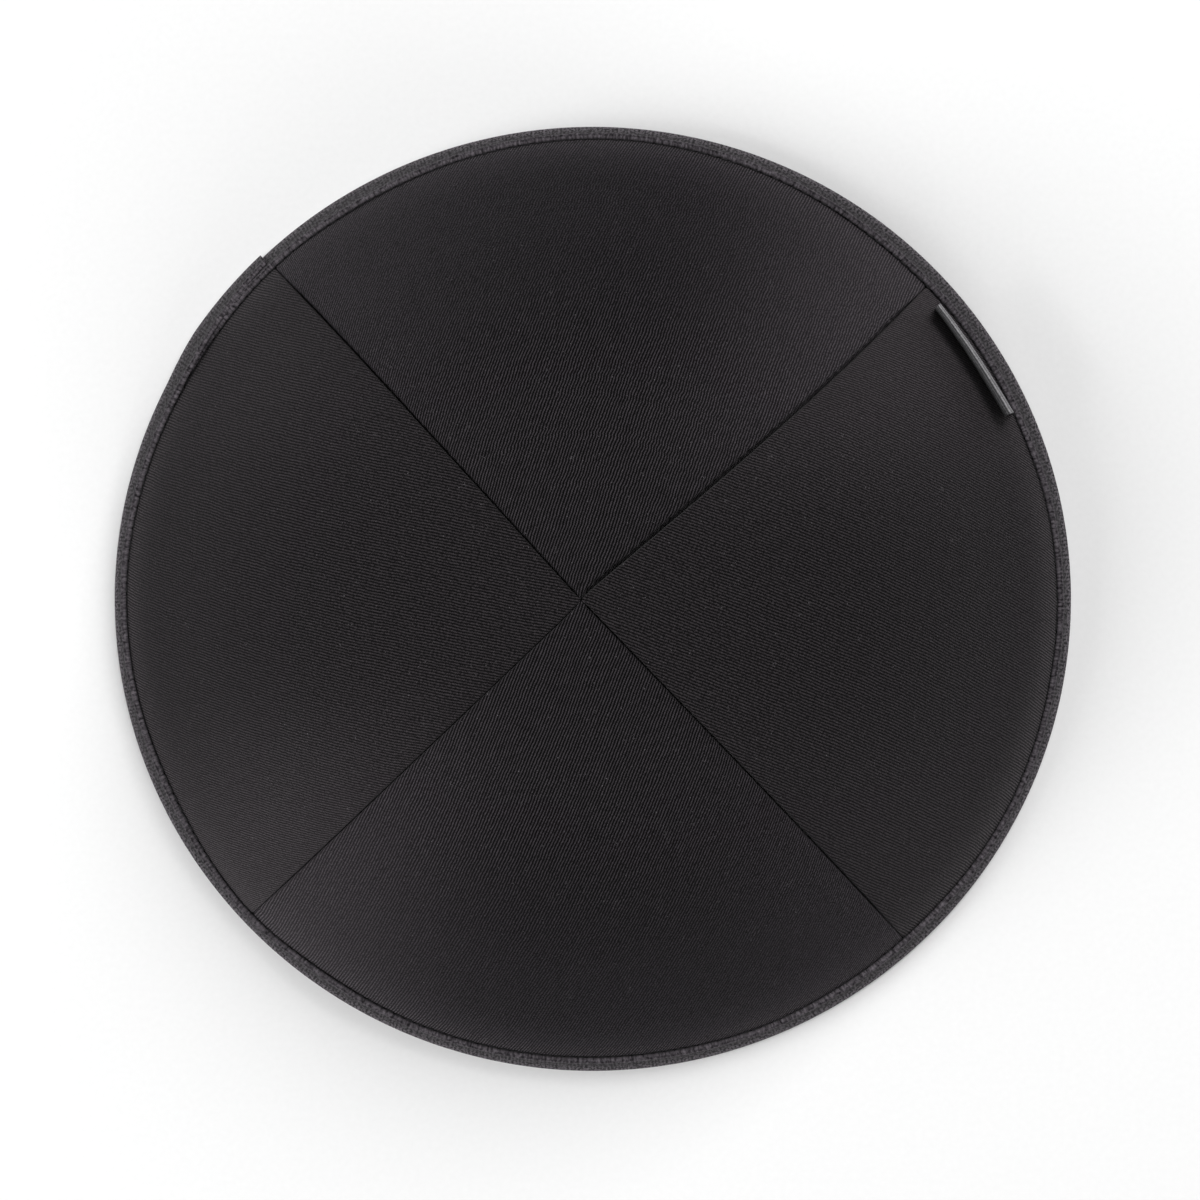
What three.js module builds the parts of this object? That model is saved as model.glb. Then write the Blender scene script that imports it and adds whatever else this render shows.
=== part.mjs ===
// A kippah of four black twill panels with a tape folded over its rim, in millimetres, +Z up.
// The crown is a shallow open bowl, upside down: nearly flat on top, with soft shoulders and a steep rim.
// The origin is in the middle of the rim, on the surface that the kippah rests on, with +Y to the back.
// Every piece is worked out from the sizes and short tables below, and keeps a small gap to the next.

import * as THREE from "three";
import { mergeVertices } from "three/addons/utils/BufferGeometryUtils.js";

// Driving dimensions, in millimetres and degrees
const RIM_WIDTH = 180;
const RIM_DEPTH = 177.6;
const CLOTH = 1.2;
const TAPE = 1.0;
const GAP = 0.3;
const RIM_SLOPE = 65;
const FOOT_ROUNDING = 0.9;
const CHANNEL_FLOOR = 2.4;
const INNER_TAPE_REACH = 5.2;
const TAPE_EDGE_ROUNDING = 0.3;
const PANEL_SWELL = 0.8;
const SWELL_FROM = 4;
const SWELL_FULL = 32;
const SWELL_FADE = 18;
const SWELL_END = 7;
const SEAM_DIP = 0.5;
const SEAM_DIP_WIDTH = 3;

// The slope of the crown, at shares of the rim's radius from its middle
const CROWN_SLOPES = [
  { share: 0.0, slope: 3 },
  { share: 0.2, slope: 7 },
  { share: 0.35, slope: 13 },
  { share: 0.5, slope: 26 },
  { share: 0.62, slope: 37 },
  { share: 0.75, slope: 43.5 },
  { share: 0.88, slope: 46 },
  { share: 0.94, slope: 56 },
  { share: 0.965, slope: RIM_SLOPE },
  { share: 1.0, slope: RIM_SLOPE },
];

// Where each seam runs: its direction as it leaves the middle, and where it meets the rim
const SEAMS = [
  { name: "back_right", middle: 40.4, rim: 43.3 },
  { name: "back_left", middle: 132.0, rim: 133.3 },
  { name: "front_left", middle: 224.0, rim: 223.1 },
  { name: "front_right", middle: 313.6, rim: 312.3 },
];

const PANELS = [
  { name: "panel_back", from: "back_right", to: "back_left" },
  { name: "panel_left", from: "back_left", to: "front_left" },
  { name: "panel_front", from: "front_left", to: "front_right" },
  { name: "panel_right", from: "front_right", to: "back_right" },
];

// The width of tape that shows from above, round the rim
const TAPE_WIDTHS = [
  { azimuth: 0, width: 2.45 },
  { azimuth: 20, width: 3.0 },
  { azimuth: 48, width: 3.5 },
  { azimuth: 62, width: 2.9 },
  { azimuth: 87, width: 2.15 },
  { azimuth: 112, width: 2.9 },
  { azimuth: 138, width: 3.6 },
  { azimuth: 162, width: 2.7 },
  { azimuth: 178, width: 2.2 },
  { azimuth: 204, width: 2.8 },
  { azimuth: 222, width: 2.2 },
  { azimuth: 240, width: 2.7 },
  { azimuth: 288, width: 2.55 },
  { azimuth: 316, width: 3.0 },
  { azimuth: 336, width: 2.35 },
  { azimuth: 360, width: 2.45 },
];

// The tape's end laps over its start, and the step fades where the end below it stops
const LAP_START = 133.5;
const LAP_STEP = 0.35;
const LAP_FLAT_END = 145;
const LAP_FADE_END = 154;
const LAP_THICKNESS = 0.6;

// The folded tab stands just inside the tape, leaning in, with one end a little further out
const TAB_FROM = 24.0;
const TAB_TO = 40.4;
const TAB_THICKNESS = 1.6;
const TAB_BASE_RADIUS = 84.9;
const TAB_BASE_HEIGHT = 8.2;
const TAB_TOP_HEIGHT = 16.4;
const TAB_LEAN = 6;
const TAB_SWING = 0.6;
const TAB_FOOT_SPREAD = 0.8;
const TAB_FOOT_TOP = 9.2;
const TAB_INNER_BEND = 10.7;

// Facets, and the length of cloth left open where the tips of the panels meet
const PANEL_TIP = 0.26;
const PANEL_COLUMNS = 16;
const PANEL_ROWS = 20;
const RIM_STATIONS = 84;
const TAB_STATIONS = 9;
const TAB_FOLD_STEPS = 5;
const PROFILE_STEPS = 900;

const rimRadius = RIM_WIDTH / 2;
const depthShare = RIM_DEPTH / RIM_WIDTH;
const radians = THREE.MathUtils.degToRad;
const sinRim = Math.sin(radians(RIM_SLOPE));
const cosRim = Math.cos(radians(RIM_SLOPE));

// The outer face of the tape runs down to this radius on the floor, before its fold is rounded
const foldHalfAngle = radians(RIM_SLOPE / 2);
const footRadius = rimRadius + FOOT_ROUNDING / Math.tan(foldHalfAngle) - FOOT_ROUNDING;

// Depths into the rim's wall: the cloth lies in a channel between the two legs of the tape
const clothOuter = TAPE + GAP;
const clothInner = clothOuter + CLOTH;
const innerLeg = clothInner + GAP;
const tapeInner = innerLeg + TAPE;

/** A point of the rim's section, so far into the wall and so far up along it. */
function wallPoint(inward, up) {
  return {
    radius: footRadius - inward * sinRim - up * cosRim,
    height: up * sinRim - inward * cosRim,
  };
}

/** A column of a table at a place between two of its rows. */
function lookUp(table, key, column, at) {
  const next = table.findIndex((row) => row[key] >= at);
  if (next <= 0) {
    return table[next < 0 ? table.length - 1 : 0][column];
  }
  const before = table[next - 1];
  const after = table[next];
  const share = (at - before[key]) / (after[key] - before[key]);
  return THREE.MathUtils.lerp(before[column], after[column], share);
}

/** The crown's outer line from its middle to its cut edge: radius, height, slope and length of cloth. */
function crownProfile() {
  const edge = wallPoint(clothOuter, CHANNEL_FLOOR + GAP);
  const step = edge.radius / PROFILE_STEPS;
  const points = [];
  let height = 0;
  let length = 0;
  for (let i = 0; i <= PROFILE_STEPS; i++) {
    const radius = step * i;
    const slope = radians(lookUp(CROWN_SLOPES, "share", "slope", radius / rimRadius));
    if (i > 0) {
      height -= step * Math.tan(slope);
      length += step / Math.cos(slope);
    }
    points.push({ radius, height, slope, length });
  }
  const lift = edge.height - height;
  return points.map((point) => ({ ...point, height: point.height + lift }));
}

const profile = crownProfile();
const meridian = profile.at(-1).length;

/** The crown's outer line at one length of cloth from its middle. */
function profileAt(length) {
  const read = (column) => lookUp(profile, "length", column, length);
  return { radius: read("radius"), height: read("height"), slope: read("slope") };
}

/** A point in the kippah's frame: the rim is a little shorter from front to back. */
function place(azimuth, radius, height) {
  const turn = radians(azimuth);
  return new THREE.Vector3(
    radius * Math.cos(turn),
    radius * Math.sin(turn) * depthShare,
    height,
  );
}

/** The azimuth of a seam at a radius: it swings gently on its way to the rim. */
function seamAzimuth(seam, radius) {
  const share = Math.min(radius / rimRadius, 1);
  return THREE.MathUtils.lerp(seam.middle, seam.rim, share * share);
}

/**
 * Joins closed outlines with equal numbers of points into one body. A ring joins the last to the
 * first. Otherwise each end is closed between the outline's two sides.
 */
function loft(outlines, isRing = false) {
  const count = outlines[0].length;
  const corners = [];
  const quad = (a, b, c, d) => corners.push(a, b, c, a, c, d);
  const spans = isRing ? outlines.length : outlines.length - 1;
  for (let i = 0; i < spans; i++) {
    const here = i * count;
    const next = ((i + 1) % outlines.length) * count;
    for (let j = 0; j < count; j++) {
      const k = (j + 1) % count;
      quad(here + j, here + k, next + k, next + j);
    }
  }
  if (!isRing) {
    const last = (outlines.length - 1) * count;
    for (let j = 0; j < count / 2 - 1; j++) {
      const across = count - 1 - j;
      quad(j, across, across - 1, j + 1);
      quad(last + j, last + j + 1, last + across - 1, last + across);
    }
  }
  return closedGeometry(outlines.flat(), corners);
}

/** A geometry with shared vertices, no collapsed triangles, and its faces pointing out. */
function closedGeometry(points, corners) {
  const loose = new THREE.BufferGeometry();
  const numbers = points.flatMap((point) => point.toArray());
  loose.setAttribute("position", new THREE.Float32BufferAttribute(numbers, 3));
  loose.setIndex(corners);
  const geometry = mergeVertices(loose, 1e-4);
  const merged = geometry.index.array;
  const kept = [];
  for (let i = 0; i < merged.length; i += 3) {
    const [a, b, c] = merged.slice(i, i + 3);
    if (a !== b && b !== c && c !== a) {
      kept.push(a, b, c);
    }
  }
  geometry.setIndex(signedVolume(geometry, kept) < 0 ? kept.reverse() : kept);
  geometry.computeVertexNormals();
  return geometry;
}

/** The volume inside the triangles, below zero where they face inwards. */
function signedVolume(geometry, corners) {
  const position = geometry.attributes.position;
  const [a, b, c] = [new THREE.Vector3(), new THREE.Vector3(), new THREE.Vector3()];
  let volume = 0;
  for (let i = 0; i < corners.length; i += 3) {
    a.fromBufferAttribute(position, corners[i]);
    b.fromBufferAttribute(position, corners[i + 1]);
    c.fromBufferAttribute(position, corners[i + 2]);
    volume += a.dot(b.cross(c)) / 6;
  }
  return volume;
}

/** The radius and height of a point so far outside a point of the profile, square to it. */
function raised({ radius, height, slope }, lift) {
  return [radius + lift * Math.sin(slope), height + lift * Math.cos(slope)];
}

/** How far the cloth stands out from the profile: swollen in mid panel, drawn in at its seams. */
function clothLift(across, seamDistance, length) {
  const { smoothstep } = THREE.MathUtils;
  const shoulder = smoothstep(length, SWELL_FROM, SWELL_FULL);
  const rim = 1 - smoothstep(length, meridian - SWELL_FADE, meridian - SWELL_END);
  const swell = PANEL_SWELL * Math.sin(Math.PI * across) * shoulder;
  const dip = SEAM_DIP * Math.exp(-((seamDistance / SEAM_DIP_WIDTH) ** 2));
  return (swell - dip) * rim;
}

/** One crown panel: a gore between two seams, from the middle of the crown to inside the tape. */
function panelGeometry(from, to) {
  const { lerp, radToDeg } = THREE.MathUtils;
  const turn = to.rim < from.rim ? 360 : 0;
  const outlines = [];
  for (let row = 0; row <= PANEL_ROWS; row++) {
    const length = lerp(PANEL_TIP, meridian, row / PANEL_ROWS);
    const { radius, height, slope } = profileAt(length);
    const start = seamAzimuth(from, radius);
    const end = seamAzimuth(to, radius) + turn;
    const atTip = row === 0;
    const inset = atTip ? (end - start) / 2 : radToDeg(Math.asin(GAP / 2 / radius));
    const outer = [];
    const inner = [];
    for (let column = 0; column <= PANEL_COLUMNS; column++) {
      const across = column / PANEL_COLUMNS;
      const azimuth = lerp(start + inset, end - inset, across);
      const seamDistance = radius * radians(Math.min(azimuth - start, end - azimuth));
      const lift = atTip ? -SEAM_DIP : clothLift(across, seamDistance, length);
      const face = { radius, height, slope };
      outer.push(place(azimuth, ...raised(face, lift)));
      inner.unshift(place(azimuth, ...raised(face, lift - CLOTH)));
    }
    outlines.push([...outer, ...inner]);
  }
  return loft(outlines);
}

/** How much thicker the tape is where its end laps over its start. */
function lapAt(azimuth) {
  const { smoothstep } = THREE.MathUtils;
  const rise = smoothstep(azimuth, LAP_START, LAP_START + LAP_STEP);
  const fade = 1 - smoothstep(azimuth, LAP_FLAT_END, LAP_FADE_END);
  return LAP_THICKNESS * rise * fade;
}

/** Points of a rounded fold of the tape, round a middle at its own radius above the floor. */
function foldPoints(middleRadius, fromAngle, toAngle, steps) {
  return Array.from({ length: steps + 1 }, (_, i) => {
    const angle = radians(THREE.MathUtils.lerp(fromAngle, toAngle, i / steps));
    return {
      radius: middleRadius + FOOT_ROUNDING * Math.cos(angle),
      height: FOOT_ROUNDING * (1 + Math.sin(angle)),
    };
  });
}

/** The rounded upper edge of one leg of the tape, from one depth into the wall to another. */
function tapeEdge(fromDepth, toDepth, reach) {
  const turn = Math.sign(toDepth - fromDepth) * TAPE_EDGE_ROUNDING;
  return [
    wallPoint(fromDepth, reach - TAPE_EDGE_ROUNDING),
    wallPoint(fromDepth + turn, reach),
    wallPoint(toDepth - turn, reach),
    wallPoint(toDepth, reach - TAPE_EDGE_ROUNDING),
  ];
}

/** The tape's section: two legs round a channel for the cloth, joined by a flat-footed fold. */
function tapeOutline(azimuth) {
  const lap = lapAt(azimuth);
  const width = lookUp(TAPE_WIDTHS, "azimuth", "width", azimuth);
  const reach = (footRadius - TAPE * sinRim - (rimRadius - width)) / cosRim;
  const outerFold = rimRadius + lap / sinRim - FOOT_ROUNDING;
  const innerCorner = wallPoint(tapeInner, (tapeInner * cosRim) / sinRim).radius;
  const innerFold = innerCorner + FOOT_ROUNDING * Math.tan(foldHalfAngle);
  const normal = 90 - RIM_SLOPE;
  const section = [
    ...tapeEdge(-lap, TAPE, reach),
    wallPoint(TAPE, CHANNEL_FLOOR),
    wallPoint(innerLeg, CHANNEL_FLOOR),
    ...tapeEdge(innerLeg, tapeInner, INNER_TAPE_REACH),
    ...foldPoints(innerFold, normal + 180, 270, 2),
    ...foldPoints(outerFold, -90, normal, 4),
  ];
  return section.map(({ radius, height }) => place(azimuth, radius, height));
}

/** The tape all round the rim, with a close pair of sections at the step of its lap. */
function bindingGeometry() {
  const pitch = 360 / RIM_STATIONS;
  const azimuths = Array.from({ length: RIM_STATIONS }, (_, i) => pitch * (i + 0.5));
  const clear = azimuths.filter((azimuth) => Math.abs(azimuth - LAP_START) > pitch / 4);
  const stations = [...clear, LAP_START, LAP_START + LAP_STEP].sort((a, b) => a - b);
  return loft(stations.map(tapeOutline), true);
}

/** The height of the crown's outer face at a radius near the rim. */
function crownHeight(radius) {
  return lookUp(profile, "radius", "height", radius);
}

/** The tab's section: a rounded fold on top, and a foot that follows the slope of the crown. */
function tabOutline(azimuth) {
  const swing = (TAB_SWING * (TAB_TO - azimuth)) / (TAB_TO - TAB_FROM);
  const half = TAB_THICKNESS / 2;
  const rise = TAB_TOP_HEIGHT - half - TAB_BASE_HEIGHT;
  const base = TAB_BASE_RADIUS + swing;
  const top = base - rise * Math.tan(radians(TAB_LEAN));
  const clearance = GAP / Math.cos(radians(RIM_SLOPE));
  const footOuter = TAB_BASE_RADIUS + half + TAB_FOOT_SPREAD;
  const footInner = base - half;
  const arc = Array.from({ length: TAB_FOLD_STEPS + 1 }, (_, i) => {
    const angle = (Math.PI * i) / TAB_FOLD_STEPS;
    return {
      radius: top + half * Math.cos(angle),
      height: TAB_TOP_HEIGHT + half * (Math.sin(angle) - 1),
    };
  });
  const section = [
    { radius: footOuter, height: crownHeight(footOuter) + clearance },
    { radius: base + half, height: TAB_FOOT_TOP },
    ...arc,
    { radius: footInner, height: TAB_INNER_BEND },
    { radius: footInner, height: crownHeight(footInner) + clearance },
  ];
  return section.map(({ radius, height }) => place(azimuth, radius, height));
}

/** The folded tab, standing along a short stretch of the rim. */
function tabGeometry() {
  const stations = Array.from({ length: TAB_STATIONS }, (_, i) =>
    THREE.MathUtils.lerp(TAB_FROM, TAB_TO, i / (TAB_STATIONS - 1)),
  );
  return loft(stations.map(tabOutline));
}

/** A named piece with a matt cloth finish. */
function piece(name, geometry, color, roughness) {
  const material = new THREE.MeshStandardMaterial({ color, roughness, metalness: 0 });
  const mesh = new THREE.Mesh(geometry, material);
  mesh.name = name;
  return mesh;
}

const kippah = new THREE.Group();
const seamNamed = (name) => SEAMS.find((seam) => seam.name === name);
for (const { name, from, to } of PANELS) {
  kippah.add(piece(name, panelGeometry(seamNamed(from), seamNamed(to)), 0x29272a, 0.9));
}
kippah.add(piece("rim_binding", bindingGeometry(), 0x434145, 0.85));
kippah.add(piece("label_tab", tabGeometry(), 0x2f2e31, 0.6));

export default kippah;
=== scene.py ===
# %% [markdown]
# # A black twill kippah in four panels
# A kippah is a small round cap. This one is sewn from four panels of black twill, and a narrow
# tape is folded over its raw rim. A short folded ribbon stands up just inside the tape.
# The solids that come with the part have the right size and shape, but they are plain.
# Here each of them gets a cloth piece in its place, with turned edges, stitches and a weave.
# Lengths are in millimetres until a point is placed. The placed points are in metres.

# %% Load the fixed frame
import math
from functools import lru_cache

import bmesh
import bpy
import numpy as np
from mathutils import Matrix, Vector, noise


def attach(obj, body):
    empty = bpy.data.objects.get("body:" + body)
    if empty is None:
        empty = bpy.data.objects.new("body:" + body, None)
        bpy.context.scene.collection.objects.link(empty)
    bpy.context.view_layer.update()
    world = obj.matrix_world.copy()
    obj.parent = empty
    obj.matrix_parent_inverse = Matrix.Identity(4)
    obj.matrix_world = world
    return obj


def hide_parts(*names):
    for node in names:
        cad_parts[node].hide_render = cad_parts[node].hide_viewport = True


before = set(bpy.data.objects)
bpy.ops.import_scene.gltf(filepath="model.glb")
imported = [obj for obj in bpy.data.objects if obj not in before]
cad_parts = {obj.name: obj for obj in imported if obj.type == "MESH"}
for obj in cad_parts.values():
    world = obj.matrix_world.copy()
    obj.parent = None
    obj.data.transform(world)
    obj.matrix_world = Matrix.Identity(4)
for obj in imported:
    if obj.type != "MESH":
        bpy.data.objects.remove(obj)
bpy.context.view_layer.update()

# %% [markdown]
# ## The lines that every piece follows
# The crown is a shallow bowl upside down. The solids were worked out from its slope at a few
# places, so the same short table gives this script the same crown, without any fitting.
# The rim leans in at one slope, so a point there is told by two distances: how far it lies
# into the wall, and how far up along the wall.

# %% Sizes of the crown and the rim
MM = 0.001
RIM_RADIUS = 90
DEPTH_SHARE = 177.6 / 180
RIM_SLOPE = math.radians(65)
FOOT_ROUNDING = 0.9
CLOTH_INWARD = 1.3
CLOTH_EDGE = 2.7
SLOPE_SHARES = [0, 0.2, 0.35, 0.5, 0.62, 0.75, 0.88, 0.94, 0.965, 1]
SLOPES = [3, 7, 13, 26, 37, 43.5, 46, 56, 65, 65]
FOOT_RADIUS = RIM_RADIUS + FOOT_ROUNDING / math.tan(RIM_SLOPE / 2) - FOOT_ROUNDING


def wall_point(inward, up):
    """The radius and height of a point so far into the rim's wall, and so far up along it."""
    radius = FOOT_RADIUS - inward * math.sin(RIM_SLOPE) - up * math.cos(RIM_SLOPE)
    return radius, up * math.sin(RIM_SLOPE) - inward * math.cos(RIM_SLOPE)


def place(azimuth, radius, height):
    """A point in metres. The rim is a little shorter from front to back than from side to side."""
    turn = math.radians(azimuth)
    depth = radius * math.sin(turn) * DEPTH_SHARE
    return Vector((radius * math.cos(turn), depth, height)) * MM


def smoothstep(low, high, value):
    """From 0 at the low end to 1 at the high end, with a soft start and stop."""
    share = min(max((value - low) / (high - low), 0), 1)
    return share * share * (3 - 2 * share)


def wave(position, seed):
    """Smooth chance, from about -1 to 1, which is the same each time the script runs."""
    return noise.noise(Vector((position, seed * 7.31, seed * 3.17)))


def uneven(position, waves):
    """Smooth chance in millimetres, where each wave has a height, a length and a seed."""
    return sum(height * wave(position / length, seed) for height, length, seed in waves)


# %% The crown's line from its middle to its cut edge
edge_radius, edge_height = wall_point(CLOTH_INWARD, CLOTH_EDGE)
radii = np.linspace(0, edge_radius, 901)
slopes = np.radians(np.interp(radii / RIM_RADIUS, SLOPE_SHARES, SLOPES))
falls = np.append(0, np.tan(slopes[1:]) * radii[1])
lengths = np.cumsum(np.append(0, radii[1] / np.cos(slopes[1:])))
heights = edge_height + falls.sum() - np.cumsum(falls)
MERIDIAN = float(lengths[-1])


@lru_cache
def crown_line(length):
    """The radius, height and slope of the crown at one length of cloth from its middle."""
    return [float(np.interp(length, lengths, column)) for column in (radii, heights, slopes)]


def crown_height(radius):
    """The height of the crown's face at a radius."""
    return float(np.interp(radius, radii, heights))


print(f"the crown is {heights[0]:.1f} mm high and {MERIDIAN:.1f} mm from its middle to its edge")

# %% [markdown]
# ## Cloth that starts flat
# Every cloth piece here is made as a sewer would: cut flat, then laid in place. The flat piece
# is a grid, and extruding it downwards makes it a closed slab with a face, a back and edges.
# A rule then says, for a place on the flat piece, where it lies on the cap and where it was
# on the bolt of cloth. The second becomes the UV map, in millimetres, so that the weave keeps
# its real size and direction however the piece is bent.

# %% A flat slab, and how it is laid
def flat_slab(columns, rows):
    """A slab whose x and y run from 0 to 1, with its face at z 1 and its back at z 0."""
    bm = bmesh.new()
    bmesh.ops.create_grid(bm, x_segments=columns, y_segments=rows, size=0.5)
    bmesh.ops.translate(bm, verts=bm.verts, vec=(0.5, 0.5, 1))
    made = bmesh.ops.extrude_face_region(bm, geom=bm.faces[:])
    back = [item for item in made["geom"] if isinstance(item, bmesh.types.BMVert)]
    bmesh.ops.translate(bm, verts=back, vec=(0, 0, -1))
    return bm


def lay(bm, rule):
    """Moves each point of a flat slab to its place, and writes its place on the bolt as its UV."""
    cloth = bm.loops.layers.uv.new("cloth")
    on_bolt = {}
    for vert in bm.verts:
        vert.co, on_bolt[vert] = rule(*vert.co)
    for face in bm.faces:
        face.smooth = True
        for loop in face.loops:
            loop[cloth].uv = on_bolt[loop.vert]
    bmesh.ops.remove_doubles(bm, verts=bm.verts, dist=1e-7)
    bmesh.ops.recalc_face_normals(bm, faces=bm.faces)
    return bm


def flat_area(bm):
    """The area of one layer of the flat piece, in square metres, from its UV map."""
    cloth = bm.loops.layers.uv.active
    total = 0
    for face in bm.faces:
        corners = [loop[cloth].uv for loop in face.loops]
        pairs = zip(corners, corners[1:] + corners[:1])
        total += abs(sum(a.x * b.y - b.x * a.y for a, b in pairs)) / 2
    return total / 2 * MM * MM


def placed_mesh(bm, name):
    """An object in the scene, with its mesh made from a bmesh."""
    mesh = bpy.data.meshes.new(name)
    bm.to_mesh(mesh)
    bm.free()
    thing = bpy.data.objects.new(name, mesh)
    bpy.context.scene.collection.objects.link(thing)
    return thing


def finished(bm, name):
    """A piece of the cap from a bmesh, riding on the only body of the frame."""
    piece = placed_mesh(bm, name)
    mesh = piece.data
    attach(piece, "root")
    print(f"{name}: {len(mesh.vertices)} points, {len(mesh.polygons)} faces")
    return piece


# %% [markdown]
# ## The four panels
# A panel is a gore: narrow at the middle of the crown and wide at the rim. Two gores are sewn
# face to face, then opened out, and the strip of cloth beyond the stitches is pressed back
# underneath. So at a seam the cloth rolls down, goes through the seam, rolls again and lies
# flat under its own panel. Modelling that turn, and not a cut edge, is what gives a seam its
# soft shoulders and its thin dark line. A spun profile couldn't have it, because it runs
# across the spin, so the flat slab is laid row by row.
# Below, a seam is told by its azimuths in the middle and at the rim, a panel by its two seams
# and the lean of its yarns, and a panel's edge by how wide it rolls and how far it stays open.

# %% How the panels meet
SEAMS = {
    "back_right": (40.4, 43.3),
    "back_left": (132.0, 133.3),
    "front_left": (224.0, 223.1),
    "front_right": (313.6, 312.3),
}
SEAM_OFFSETS = {"back_right": 0.32, "back_left": 0, "front_left": 0.32, "front_right": 0}
PANELS = {
    "panel_back": ("back_right", "back_left", -15),
    "panel_left": ("back_left", "front_left", -10.5),
    "panel_front": ("front_left", "front_right", -20),
    "panel_right": ("front_right", "back_right", -18),
}
PANEL_EDGES = {
    "panel_back": ((0.7, 0.5), (0.5, 0.26)),
    "panel_left": ((0.45, 0.17), (0.45, 0.08)),
    "panel_front": ((0.45, 0.08), (0.5, 0.2)),
    "panel_right": ((0.45, 0.15), (0.45, 0.14)),
}
PANEL_TIP = 0.2
HALF_SEAM = 0.006
LEAST_ROLL = 0.45
SEAM_WALL = 0.75
UNDER_ROLL = 0.5
SEAM_STITCH = 2.1
STITCH_PULL = 0.25
UNEVEN_PULL = 0.45
UNEVEN_LENGTH = 0.9
ROLL_WIDENS = (0.6, 5)
SEAM_CLOSES = (22, 9)
CLOSED_SHARE = 0.85
POINT_RADIUS = 1.6
CLOTH_THICKNESS = 0.44
ALLOWANCE = 6.5
RIM_LIFT = 0.36
LIFT_GROWS = (50, 8)
SWELL = 0.8
SWELL_GROWS = (4, 32)
SWELL_FADES = (42, 5)
SEAM_DIP = 0.5
SEAM_DIP_WIDTH = 3
PUCKER = {"back_right": 0.2, "back_left": 0.12, "front_left": 0.14, "front_right": 0.1}
PUCKER_LENGTHS = (5.5, 2.6)
PUCKER_WIDTH = 3.2
UNEVEN_LAY = 0.1
UNEVEN_LAY_LENGTH = 14
BOLT_STEP = 170


def before_edge(distances, length):
    """From 0 to 1 between two distances before the crown's cut edge, farthest first."""
    return smoothstep(MERIDIAN - distances[0], MERIDIAN - distances[1], length)


def seam_azimuth(seam, radius):
    """The azimuth of a seam at a radius: it swings gently on its way to the rim.

    Two of the seams just miss each other in the middle, where they cross the other two."""
    middle, rim = SEAMS[seam]
    missed = SEAM_OFFSETS[seam] * radius / (radius * radius + 1)
    return middle + (rim - middle) * min(radius / RIM_RADIUS, 1) ** 2 + math.degrees(missed)


def edge_shape(sizes, radius, length):
    """How wide the cloth rolls over into a seam, and how far the slot there stays open."""
    widest, slot = sizes
    at_rim = before_edge(SEAM_CLOSES, length)
    roll = LEAST_ROLL + (widest - LEAST_ROLL) * smoothstep(*ROLL_WIDENS, radius) * (1 - at_rim)
    slot *= 1 - CLOSED_SHARE * at_rim
    pull = STITCH_PULL * math.cos(2 * math.pi * length / SEAM_STITCH)
    pull += UNEVEN_PULL * wave(length / UNEVEN_LENGTH, 40 + slot)
    small = min(1, radius / POINT_RADIUS)
    return roll * small, slot * (1 + pull) * small, small


def pucker(seam, distance, length):
    """Small dips beside a seam, where its stitches gather the cloth a little."""
    seed = list(SEAMS).index(seam) + 1
    slow, quick = PUCKER_LENGTHS
    ripple = wave(length / slow, seed) + 0.6 * wave(length / quick, seed + 10)
    return PUCKER[seam] * ripple * math.exp(-((distance / PUCKER_WIDTH) ** 2))


def cloth_lift(across, distance, length):
    """How far the cloth stands out: swollen in mid panel, drawn in at its seams."""
    swell = SWELL * math.sin(math.pi * across) * smoothstep(*SWELL_GROWS, length)
    dip = SEAM_DIP * math.exp(-((distance / SEAM_DIP_WIDTH) ** 2))
    return swell - dip


# %% The columns of a panel, from its turned edge inwards
ALLOWANCE_SHARES = [1, 0.7, 0.4, 0.15]
UNDER_SHARES = [1, 0.5]
WALL_SHARES = [0, 0.5, 1]
ROLL_SHARES = [0.25, 0.5, 0.75, 1]
BESIDE_SEAM = [0.35, 0.9, 1.8, 3.2]
STRIP_SHARE = 0.55
CLOSE_COLUMNS_RADIUS = 8
EDGE_PARTS = (ALLOWANCE_SHARES, UNDER_SHARES, WALL_SHARES, ROLL_SHARES, BESIDE_SEAM)
EDGE_COLUMNS = sum(len(shares) for shares in EDGE_PARTS)
MIDDLE_COLUMNS = 60
PANEL_COLUMNS = 2 * EDGE_COLUMNS + MIDDLE_COLUMNS - 2
PANEL_ROWS = 204


@lru_cache
def edge_runs(roll, small, radius):
    """Lengths of cloth from the seam's stitches, with the strip under the panel below 0."""
    wall = SEAM_WALL * small
    top_turn = roll * math.pi / 2
    under_turn = UNDER_ROLL * small * math.pi / 2
    strip = min(ALLOWANCE, STRIP_SHARE * radius)
    open_cloth = min(1, radius / CLOSE_COLUMNS_RADIUS)
    runs = [-under_turn - strip * share for share in ALLOWANCE_SHARES]
    runs += [-under_turn * share for share in UNDER_SHARES]
    runs += [wall * share for share in WALL_SHARES]
    runs += [wall + top_turn * share for share in ROLL_SHARES]
    return runs + [wall + top_turn + beside * open_cloth for beside in BESIDE_SEAM]


def turned_cloth(run, shape, side):
    """The distance from the seam and the depth under the crown of a point of turned cloth."""
    roll, slot, small = shape
    wall, under = SEAM_WALL * small, UNDER_ROLL * small
    inset = (1 - side) * CLOTH_THICKNESS * small
    gap = HALF_SEAM * small
    if run < 0:
        bend = min(-run / under, math.pi / 2)
        straight = max(-run - under * math.pi / 2, 0)
        reach = under - inset
        return gap + under + straight - reach * math.cos(bend), roll + wall + reach * math.sin(bend)
    if run < wall:
        return gap + slot * smoothstep(0, wall, run) + inset, roll + wall - run
    bend = min((run - wall) / roll, math.pi / 2)
    straight = max(run - wall - roll * math.pi / 2, 0)
    reach = roll - inset
    return gap + slot + roll + straight - reach * math.cos(bend), roll - reach * math.sin(bend)


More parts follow.
